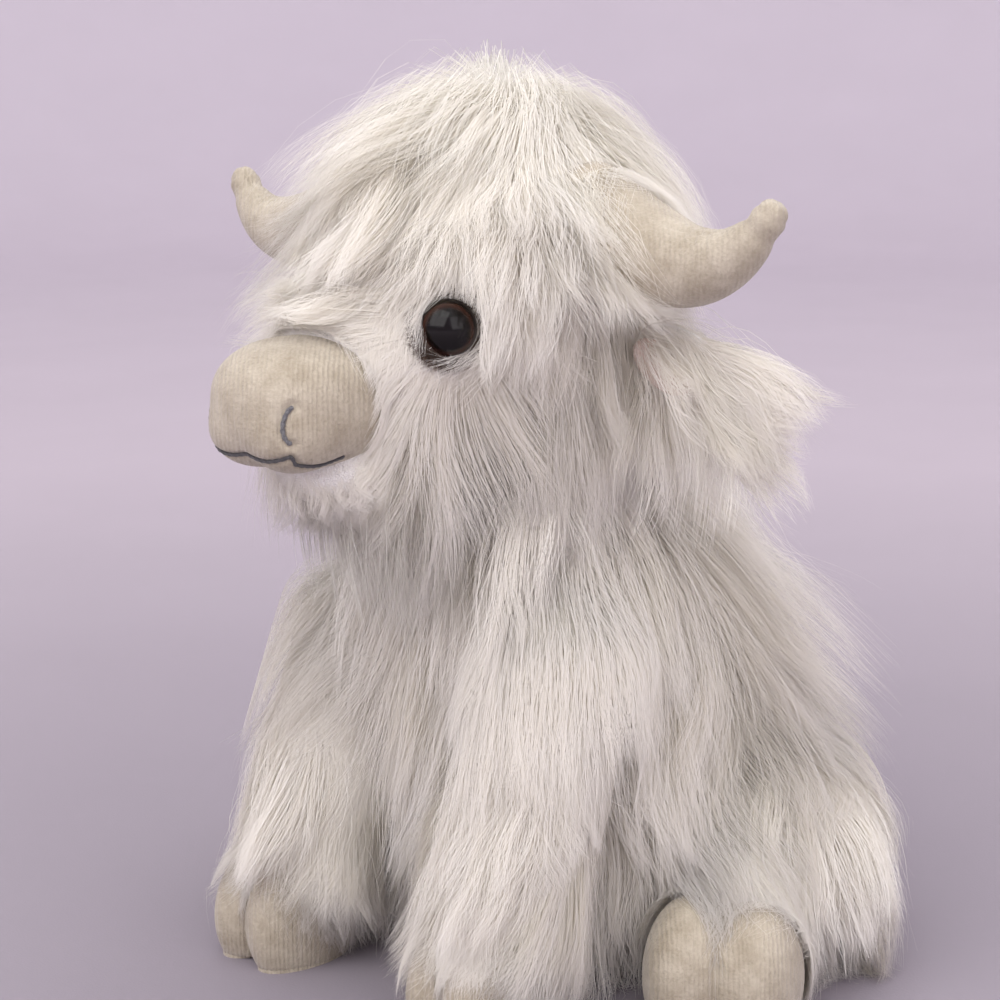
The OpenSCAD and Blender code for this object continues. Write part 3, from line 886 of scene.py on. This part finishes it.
def make_torso(rng):
    surface = skin("torso_skin", "torso", torso_d, np.array([0.0, 24.0, 88.0]), 6,
                   ["torso_left_panel", "torso_right_panel"])[1]

    def keep(p, n):
        hidden = skull_d(p, 6.0) < 0
        for side in SIDES.values():
            q = mirrored(p, side)
            hidden |= (front_leg_d(q, 6.0) < 0) | (thigh_d(q, 6.0) < 0)
        return ~hidden & (p[:, 2] > 9)

    over = []
    for side in SIDES.values():
        over.append((at_side(front_leg_d, side), 12.0, 124.0))
        over.append((at_side(thigh_d, side), 10.0, 70.0))
    coat("torso_fur", "torso", surface, torso_d, STRANDS["torso"], torso_style, rng, keep, over=over)


def make_head(rng):
    surface = skin("head_skin", "head", skull_d, np.array([0.0, -34.0, 252.0]), 6,
                   ["head_left_panel", "head_right_panel", "forelock"])[1]

    def keep(p, n):
        hidden = (muzzle_d(p) < 1.0) | (np.linalg.norm(p - NECK, axis=1) < NECK_R - INSET + 4)
        for side in SIDES.values():
            q = mirrored(p, side)
            hidden |= horn_d(q) < -1
            hidden |= np.linalg.norm(q - EYE, axis=1) < PATCH_D / 2 - 3.4
        return ~hidden

    coat("head_fur", "head", surface, skull_d, STRANDS["head"], head_style, rng, keep, wander=0.36)


def make_leg(part, name, side, distance, centre, hem, style, rng):
    """A leg's stuffed sleeve with its fur, which is rooted above the hem."""
    at = at_side(distance, side)
    surface = skin(f"{part}_{name}_skin", f"{part}_{name}", at, mirrored(centre, side), 5,
                   [f"{part}_{name}_sleeve"])[1]

    def keep(p, n):
        return (torso_d(p, 4.0) > -2) & (p[:, 2] > hem)

    coat(f"{part}_{name}_fur", f"{part}_{name}", surface, at, STRANDS[part], style, rng, keep)


# ---------------------------------------------------------------- face

def nostril_line(side):
    """A crescent on the corner of the muzzle, open to the outside."""
    turn = np.radians(np.linspace(-80, 80, 11))
    return on_muzzle(side * (21.6 - 2.4 * np.cos(turn)), 216.6 + 6.4 * np.sin(turn))


def mouth_line():
    """Shallow arcs that meet in a peak at the middle and one under each nostril."""
    x = np.linspace(0.0, 19.8, 16)
    front = on_muzzle(x, 205.0 - 1.3 * np.sin(x / 19.8 * math.pi) + 1.2 * (x / 19.8) ** 4)
    y = np.linspace(-129.0, -109.0, 10)
    z = 202.9 - 1.7 * np.sin((y + 129.0) / 20.0 * math.pi) + 0.6 * (y + 129.0) / 20.0
    cheek = beside_muzzle(y, z)
    half = np.vstack([front, cheek])
    return np.vstack([mirrored(half[::-1], -1.0), half[1:]])


def thread(name, line, radius, node, material):
    """Embroidery thread laid along a line as a twisted round tube."""
    sides = 8
    tangent = unit(np.gradient(line, axis=0))
    up = unit(np.cross(tangent, [0.3, 1.0, 0.2]))
    out = np.cross(tangent, up)
    angle = np.linspace(0, 2 * math.pi, sides, endpoint=False)[None, :]
    count = np.arange(len(line))
    ends = np.minimum(1.0, np.minimum(count, count[::-1]) * 0.6 + 0.25)
    turn = angle + 0.5 * count[:, None]
    reach = (radius * ends[:, None] * (1 + 0.16 * np.cos(2 * angle)))[..., None]
    ring = np.cos(turn)[..., None] * up[:, None, :] + np.sin(turn)[..., None] * out[:, None, :]
    verts = (line[:, None, :] + reach * ring).reshape(-1, 3)
    obj = mesh_object(name, verts, tube_faces(len(line), sides), material)
    dress(obj, "head", [node])


def resampled(line, count):
    """A line with evenly spaced points."""
    gaps = np.r_[0, np.cumsum(np.linalg.norm(np.diff(line, axis=0), axis=1))]
    at = np.linspace(0, gaps[-1], count)
    return np.stack([np.interp(at, gaps, line[:, k]) for k in range(3)], -1)


def make_muzzle():
    nostrils = [nostril_line(side) for side in SIDES.values()]
    mouth = mouth_line()

    def form(p):
        return muzzle_d(p) + groove(p, nostrils, 1.6, 1.9) + groove(p, [mouth[::2]], 1.3, 1.1)

    skin("muzzle", "head", form, MUZZLE, 7, ["muzzle_cover"], VELOUR)
    for name, line in zip(SIDES, nostrils):
        laid = resampled(line + unit(MUZZLE - line) * 1.0, 40)
        thread(f"nostril_{name}_thread", laid, 0.8, f"nostril_{name}", GREY_THREAD)
    laid = resampled(mouth + unit(MUZZLE - mouth) * 0.5, 200)
    thread("mouth_thread", laid, 0.7, "mouth_stitches", DARK_THREAD)


def make_chin(rng):
    def pad(p):
        return ellipsoid(p, CHIN, CHIN_R - 5.0)

    def keep(p, n):
        return (muzzle_d(p) > 0.5) & (skull_d(p) > -1)

    surface = skin("chin", "head", pad, CHIN, 5, ["chin_fur"])[1]
    coat("chin_pile", "head", surface, pad, STRANDS["chin"], chin_style, rng, keep,
         clump=(0.5, 0.5, 0.2), gather=(9, 40, 200))


def facing(origin, direction):
    """Matrix that puts local +Z along the direction at the origin, in metres."""
    turn = Vector(direction).to_track_quat("Z", "Y").to_matrix().to_4x4()
    turn.translation = Vector(np.asarray(origin) * MM)
    return turn


def make_eye(name, side, rng):
    normal = mirrored(eye_normal(), side)
    centre = mirrored(EYE, side) - 4.4 * normal
    radius = EYE_D / 2 + 0.4
    profile = [(radius * math.cos(a), 0.86 * radius * math.sin(a))
               for a in np.radians(np.linspace(-6, 88, 26))]
    sides = 72
    verts = [(r * math.cos(t), r * math.sin(t), z) for r, z in profile
             for t in np.linspace(0, 2 * math.pi, sides, endpoint=False)]
    dome = mesh_object(f"eye_{name}_dome", verts, tube_faces(len(profile), sides), EYE_GLOSS)
    dome.matrix_world = facing(centre, normal)
    dress(dome, "head", [f"eye_{name}"])
    make_eye_patch(name, side, normal, rng)


def make_eye_patch(name, side, normal, rng):
    """Short brown pile round the eye, draped on the face."""
    rings, sides = 12, 64
    u = unit(np.cross(normal, [0.0, 0.0, 1.0]))
    v = np.cross(u, normal)
    points = []
    for r in np.linspace(2.5, PATCH_D / 2 - 2.2, rings):
        for t in np.linspace(0, 2 * math.pi, sides, endpoint=False):
            points.append(mirrored(EYE, side) + (u * math.cos(t) + v * math.sin(t)) * r)
    points = np.array(points)
    low, high = np.full(len(points), -22.0), np.full(len(points), 14.0)
    top = points + normal * (crossing(skull_d, points, normal, low, high, 24) + 1.1)
    faces = band_faces(rings, sides)
    obj = mesh_object(f"eye_{name}_felt", top, faces, BROWN_PILE)
    thick = obj.modifiers.new("thickness", "SOLIDIFY")
    thick.thickness = 1.2 * MM
    thick.offset = -1.0
    dress(obj, "head", [f"eye_{name}_patch"])
    triangles = np.array([[f[0], f[i], f[i + 1]] for f in faces for i in (1, 2)])

    def style(p, n):
        away = unit(p - mirrored(EYE, side))
        return away + np.array([0.0, 0.0, -0.4]), values(p, 2.6), values(p, 0.45), values(p, 0.2)

    def keep(p, n):
        return np.linalg.norm(p - mirrored(EYE, side), axis=1) > EYE_D / 2 - 0.2

    coat(f"eye_{name}_pile", "head", (top, triangles), skull_d, STRANDS["eye"], style, rng, keep,
         BROWN_FUR, slot="eye_patch", width=(0.16, 0.26), clump=(0.2,), gather=(6,), wave=0.2)


# ---------------------------------------------------------------- horns, ears, hooves, tail

def make_horn(name, side):
    """A curved stuffed tube with a seam below, creases in the bend and a pinched tip."""
    rings, sides = 96, 72
    line, radius = horn_path(rings)
    root = line[0] - unit(line[1] - line[0]) * np.linspace(17.5, 2, 6)[:, None]
    line = np.vstack([root, line])
    radius = np.r_[np.full(6, HORN_BASE_R), radius]
    tangent = unit(np.gradient(line, axis=0))
    up = unit(np.cross(np.array([0.0, 1.0, 0.0]), tangent))
    out = np.cross(tangent, up)
    angle = np.linspace(0, 2 * math.pi, sides, endpoint=False)
    place = np.linspace(0, 1, len(line))[:, None]
    seam = np.exp(-((np.angle(np.exp(1j * (angle - SEAM_ANGLE))))[None, :] / 0.07) ** 2)
    inner = 0.5 - 0.5 * np.cos(angle)[None, :]
    crease = np.exp(-((place - 0.70) / 0.10) ** 2) * np.sin(place * 95) * inner ** 2
    swell = (0.7 * np.sin(place * 9 + 2 * np.cos(angle)[None, :])
             + 0.4 * np.sin(place * 23 + angle[None, :] * 2))
    flare = 0.9 * np.exp(-((place - 0.985) / 0.02) ** 2) - 0.5 * np.exp(-((place - 0.93) / 0.02) ** 2)
    r = radius[:, None] * (1 + 0.012 * swell) - 0.55 * seam - 0.35 * crease + flare
    shell = line[:, None, :] + r[..., None] * (np.cos(angle)[None, :, None] * up[:, None, :] * 0.97
                                               + np.sin(angle)[None, :, None] * out[:, None, :] * 0.97)
    cap = []
    for a in np.radians([18, 36, 54, 72, 86]):
        pucker = 1 - 0.16 * math.sin(a) * (0.5 + 0.5 * np.cos(5 * angle))
        drop = 0.7 * math.exp(-((90 - math.degrees(a)) / 22) ** 2)
        ring = (np.cos(angle)[:, None] * up[-1] + np.sin(angle)[:, None] * out[-1]) * (
            r[-1] * math.cos(a) * pucker)[:, None]
        cap.append(line[-1] + ring + tangent[-1] * (HORN_TIP_R * math.sin(a) - drop))
    verts = np.vstack([shell.reshape(-1, 3), *cap])
    faces = tube_faces(len(line) + len(cap), sides)
    obj = mesh_object(f"horn_{name}", mirrored(verts, side), faces, VELOUR)
    if side < 0:
        obj.data.flip_normals()
    dress(obj, "head", [f"horn_{name}_cover"])


def ear_d(p, side):
    """A flat leaf, bowed along its length."""
    along, across, out = ear_axes(side)
    q = p - mirrored(EAR_ROOT, side)
    local = np.stack([q @ along, q @ out, q @ across], -1)
    bend = local[..., 1] + 0.003 * (local[..., 0] - 20) ** 2
    local = np.stack([local[..., 0], bend, local[..., 2]], -1)
    return ellipsoid(local, np.array([26.0, 0.0, 0.0]), np.array([28.0, 3.0, 14.0]))


def make_ear(name, side, rng):
    along, across, out = ear_axes(side)
    middle = mirrored(EAR_ROOT, side) + along * 24
    inside = mirrored(EAR_ROOT, side) + along * 15 - across * 2 + out * 2.2
    axes = np.stack([along, across, out], -1)

    def flap(p):
        return ear_d(p, side)

    def lining(p):
        return ellipsoid(p @ axes, inside @ axes, np.array([15.0, 8.0, 1.8]))

    def keep(p, n):
        q = p - mirrored(EAR_ROOT, side)
        inner = (n @ out > 0.3) & (((q @ along - 15) / 14) ** 2 + ((q @ across + 2) / 7) ** 2 < 1)
        return ~inner & (skull_d(p) > -1)

    surface = skin(f"ear_{name}_flap", f"ear_{name}", flap, middle - out * 0.6, 6,
                   [f"ear_{name}_fur"])[1]
    coat(f"ear_{name}_pile", f"ear_{name}", surface, flap, STRANDS["ear"], ear_style(side), rng, keep,
         gather=(8, 30, 90), wander=0.65, wave=3.4)
    skin(f"ear_{name}_inner", f"ear_{name}", lining, inside, 5, [f"ear_{name}_lining"],
         EAR_VELOUR)


def make_hoof(part, name, side, distance, centre, size):
    middle = mirrored(centre + np.array([0.0, 0.0, size[2] * 0.42]), side)
    skin(f"{part}_hoof_{name}_cover", f"{part}_leg_{name}", at_side(distance, side), middle, 6,
         [f"{part}_hoof_{name}"], VELOUR)


def tail_d(p):
    end = TAIL_ROOT + TAIL_DOWN * (TAIL_L + 8)
    cord = capsule(p, TAIL_ROOT, end, 3.2, 3.2)
    return blend_min(cord, ellipsoid(p, end, np.array([6.0, 4.5, 13.0])), 4.0)


def make_tail(rng):
    """The cord and tuft are a thin stuffed tube that swells at its end."""
    verts, faces = swept_tail()
    obj = mesh_object("tail_core", verts, faces, UNDERFUR)
    dress(obj, "tail", ["tail_cord", "tail_tuft"])
    triangles = np.array([[f[0], f[i], f[i + 1]] for f in faces if len(f) == 4 for i in (1, 2)])
    coat("tail_pile", "tail", (verts, triangles), tail_d, STRANDS["tail"], tail_style, rng,
         gather=(9, 40, 200))


def swept_tail():
    rings, sides = 40, 20
    along = np.linspace(1, TAIL_L + 20, rings)
    swell = 3.8 + 3.4 * np.exp(-((along - TAIL_L - 8) / 9) ** 2)
    swell[-1] = 0.6
    side_on = np.array([1.0, 0.0, 0.0])
    back = np.cross(TAIL_DOWN, side_on)
    angle = np.linspace(0, 2 * math.pi, sides, endpoint=False)
    ring = np.cos(angle)[:, None] * side_on + np.sin(angle)[:, None] * back
    verts = TAIL_ROOT + along[:, None, None] * TAIL_DOWN + swell[:, None, None] * ring[None]
    return verts.reshape(-1, 3), tube_faces(rings, sides)


def dress_cad_nodes():
    """Materials of the CAD nodes that stay."""
    kinds = {"stuffing": FIBRE, "sole": VELOUR, "washer": WASHER, "pouch": POUCH, "base": SEAT}
    for name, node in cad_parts.items():
        for word, material in kinds.items():
            if word in name:
                node.data.materials.clear()
                node.data.materials.append(material)


# ---------------------------------------------------------------- scene

# Metres from the middle of the floor at which the painted light on the backdrop is brightest
PAINTED_LIGHT_R = 4.0


def orbit(target, azimuth, elevation, distance):
    """Place at a distance from the target, azimuth 0 being straight in front."""
    a, e = math.radians(azimuth), math.radians(elevation)
    return target + distance * Vector((math.sin(a) * math.cos(e), -math.cos(a) * math.cos(e), math.sin(e)))


def put(name, data, target, azimuth, elevation, distance):
    """Adds a lamp or camera that looks at the target."""
    obj = bpy.data.objects.new(name, data)
    obj.location = orbit(target, azimuth, elevation, distance)
    obj.rotation_euler = (target - obj.location).to_track_quat("-Z", "Y").to_euler()
    bpy.context.scene.collection.objects.link(obj)
    return obj


def area_light(name, azimuth, elevation, distance, size, power, colour):
    data = bpy.data.lights.new(name, "AREA")
    data.size = size
    data.energy = power
    data.color = colour
    put(name, data, Vector((0.0, 0.0, 0.17)), azimuth, elevation, distance)


def paper_material():
    """Mauve paper with a faint tooth, with painted shade on the floor round the middle and painted light
    towards the wall.
    """
    m = Nodes("backdrop_paper")
    # Painted shade and light: the paper darkens towards the middle of the floor and pales towards the wall
    colour = m.ramp(m.far((1.0, 1.0, 1.0), 1 / PAINTED_LIGHT_R),
                    [(0.0, (0.275, 0.251, 0.286)), (0.10, (0.341, 0.308, 0.347)),
                     (0.26, (0.49, 0.441, 0.49)), (0.72, (0.618, 0.566, 0.625)),
                     (1.0, (0.72, 0.671, 0.732))])
    tooth = m.ramp(m.noise(6.0, 2.0), [(0.3, (0.975, 0.975, 0.975)), (0.7, (1.0, 1.0, 1.0))])
    m.paint(m.mix(1.0, colour, tooth, "MULTIPLY"), Roughness=0.9, Specular_IOR_Level=0.1)
    m.bump(m.noise(900.0, 2.0), 0.0001)
    return m.material


def make_backdrop():
    """Round floor that turns up into a wall with no edge."""
    flat, bend, top = 2.7, 1.2, 3.6
    profile = [(0.02, 0.0), (0.4, 0.0), (1.2, 0.0), (flat, 0.0)]
    profile += [(flat + bend * math.sin(a), bend * (1 - math.cos(a))) for a in np.radians(range(6, 91, 6))]
    profile += [(flat + bend, top)]
    sides = 128
    verts = [(r * math.cos(t) / MM, r * math.sin(t) / MM, z / MM) for r, z in profile
             for t in np.linspace(0, 2 * math.pi, sides, endpoint=False)]
    faces = band_faces(len(profile), sides) + [list(range(sides))]
    floor = mesh_object("floor", verts, faces, paper_material())


def make_camera():
    data = bpy.data.cameras.new("camera")
    data.lens = 82.6
    data.sensor_width = 36.0
    target = Vector((-0.0041, -0.0121, 0.1717))
    bpy.context.scene.camera = put("camera", data, target, 45, 11.4, 0.85)


def make_studio():
    make_camera()
    make_backdrop()
    area_light("key", 8, 39, 2.0, 2.2, 30, (1.0, 0.985, 0.965))
    area_light("fill", 80, 22, 2.0, 1.5, 11, (1.0, 0.975, 0.97))
    area_light("top", 200, 66, 2.0, 1.5, 12, (1.0, 0.985, 0.98))
    world = bpy.data.worlds.new("studio")
    world.use_nodes = True
    background = world.node_tree.nodes["Background"]
    background.inputs["Color"].default_value = (0.80, 0.775, 0.80, 1.0)
    background.inputs["Strength"].default_value = 1.4
    bpy.context.scene.world = world
    bpy.context.scene.view_settings.view_transform = "Standard"
    bpy.context.scene.cycles.max_bounces = 12
    bpy.context.scene.cycles.diffuse_bounces = 10


make_studio()
make_torso(np.random.default_rng(11))
make_head(np.random.default_rng(12))
make_muzzle()
make_chin(np.random.default_rng(13))
make_tail(np.random.default_rng(14))
for number, (label, sign) in enumerate(SIDES.items()):
    make_leg("front_leg", label, sign, front_leg_d, SHOULDER + LEG_DOWN * 40, 12, leg_style(sign),
             np.random.default_rng(21 + number))
    make_leg("hind_leg", label, sign, thigh_d, HIP, 7, thigh_style(sign),
             np.random.default_rng(31 + number))
    make_eye(label, sign, np.random.default_rng(41 + number))
    make_ear(label, sign, np.random.default_rng(51 + number))
    make_horn(label, sign)
    make_hoof("front", label, sign, front_hoof_d, FRONT_HOOF, FRONT_HOOF_SIZE)
    make_hoof("hind", label, sign, hind_hoof_d, HIND_HOOF, HIND_HOOF_SIZE)
dress_cad_nodes()
